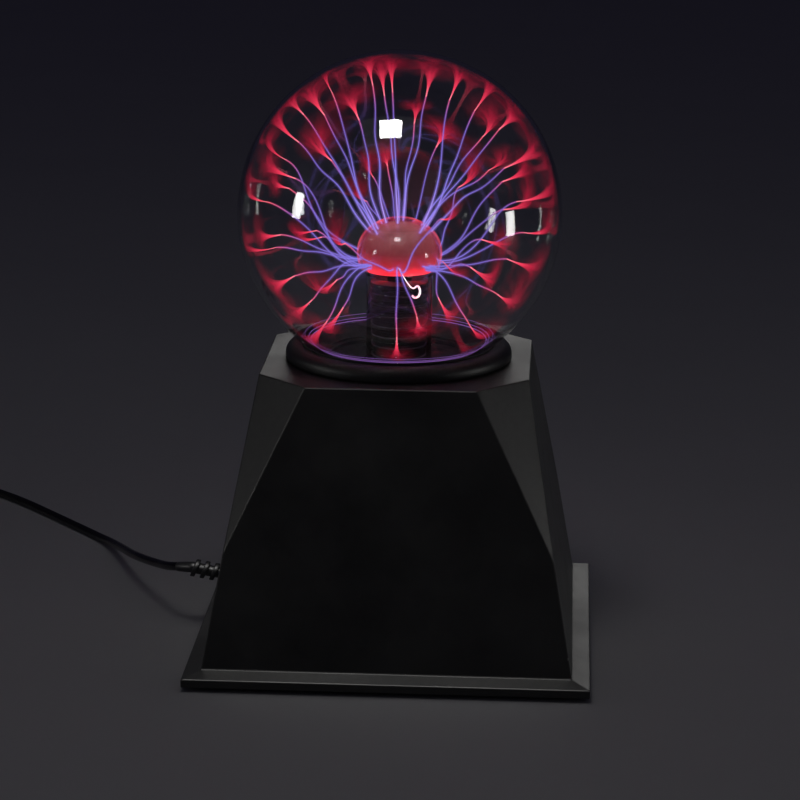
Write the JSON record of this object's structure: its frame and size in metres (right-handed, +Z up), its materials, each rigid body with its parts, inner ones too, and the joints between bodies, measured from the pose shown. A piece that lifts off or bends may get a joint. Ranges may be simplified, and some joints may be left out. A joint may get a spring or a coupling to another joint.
{
  "type": "plasma ball",
  "caption": "Sealed glass plasma globe with a bulb electrode on a ribbed column, in a collar on a black four-sided tapered housing with a mains lead.",
  "frame": {"origin": "middle of the square base, on the surface that the feet stand on, without the free cord", "axes": "+X the object's right, +Y its rear, +Z up; the cord leaves the wall on the -X side and the switches are on the +Y side"},
  "size_m": [0.5313, 0.4402, 0.371],
  "materials": {
    "housing_plastic": "near-black moulded plastic, fine texture",
    "collar_plastic": "near-black moulded plastic, fine texture",
    "black_rubber": "matt black",
    "globe_glass": "clear, polished",
    "electrode_coating": "thin grey-brown conductive coating",
    "column_plastic": "glossy black",
    "cord_vinyl": "glossy black",
    "switch_plastic": "black",
    "steel": "plain",
    "brass": "plain",
    "aluminium": "plain",
    "circuit_laminate": "green solder mask",
    "ferrite": "dark grey",
    "component_black": "black",
    "component_blue": "dark blue",
    "nylon": "natural white",
    "lead_silicone": "dark red"
  },
  "bodies": {
    "base": {"base_plate": "housing_plastic", "base_screw_front_left": "steel", "base_screw_front_right": "steel", "base_screw_rear_left": "steel", "base_screw_rear_right": "steel", "board_pillar_front_left": "nylon", "board_pillar_front_right": "nylon", "board_pillar_rear_left": "nylon", "board_pillar_rear_right": "nylon", "circuit_board": "circuit_laminate", "collar_ring": "collar_plastic", "column_foot": "column_plastic", "contact_cup": "brass", "contact_spring": "steel", "cord_coil": "cord_vinyl", "cord_lead": "cord_vinyl", "cord_tail": "cord_vinyl", "cord_tie": "black_rubber", "driver_chip": "component_black", "electrode_coating": "electrode_coating", "film_capacitor": "component_blue", "flyback_core": "ferrite", "flyback_winding": "component_black", "foot_front_left": "black_rubber", "foot_front_right": "black_rubber", "foot_rear_left": "black_rubber", "foot_rear_right": "black_rubber", "fuse": "steel", "glass_globe": "globe_glass", "globe_gasket": "black_rubber", "heat_sink": "aluminium", "housing_shell": "housing_plastic", "hv_lead": "lead_silicone", "insulator_column": "column_plastic", "mains_lead_inside": "component_black", "mains_transformer_core": "ferrite", "mains_transformer_winding": "component_blue", "microphone": "aluminium", "plug_body": "cord_vinyl", "plug_pin_left": "steel", "plug_pin_right": "steel", "power_transistor": "component_black", "reservoir_capacitor": "component_blue", "rocker_frame": "switch_plastic", "seat_ring": "component_black", "seat_screw_1": "steel", "seat_screw_2": "steel", "seat_screw_3": "steel", "seat_screw_4": "steel", "slide_switch_body": "steel", "stem_tube": "globe_glass", "strain_relief": "cord_vinyl", "switch_lead": "component_black", "terminal_block": "component_blue"},
    "rocker": {"rocker_key": "switch_plastic"},
    "slider": {"slide_knob": "switch_plastic"}
  },
  "joints": [
    {"name": "rocker_tip", "type": "hinge", "parent": "base", "child": "rocker", "pos_m": [0.028, 0.1037, 0.04466], "axis": [-1, 0, 0], "range_deg": [0, 20]},
    {"name": "slide_travel", "type": "slide", "parent": "base", "child": "slider", "axis": [-1, 0, 0], "range_m": [0, 0.004]}
  ]
}
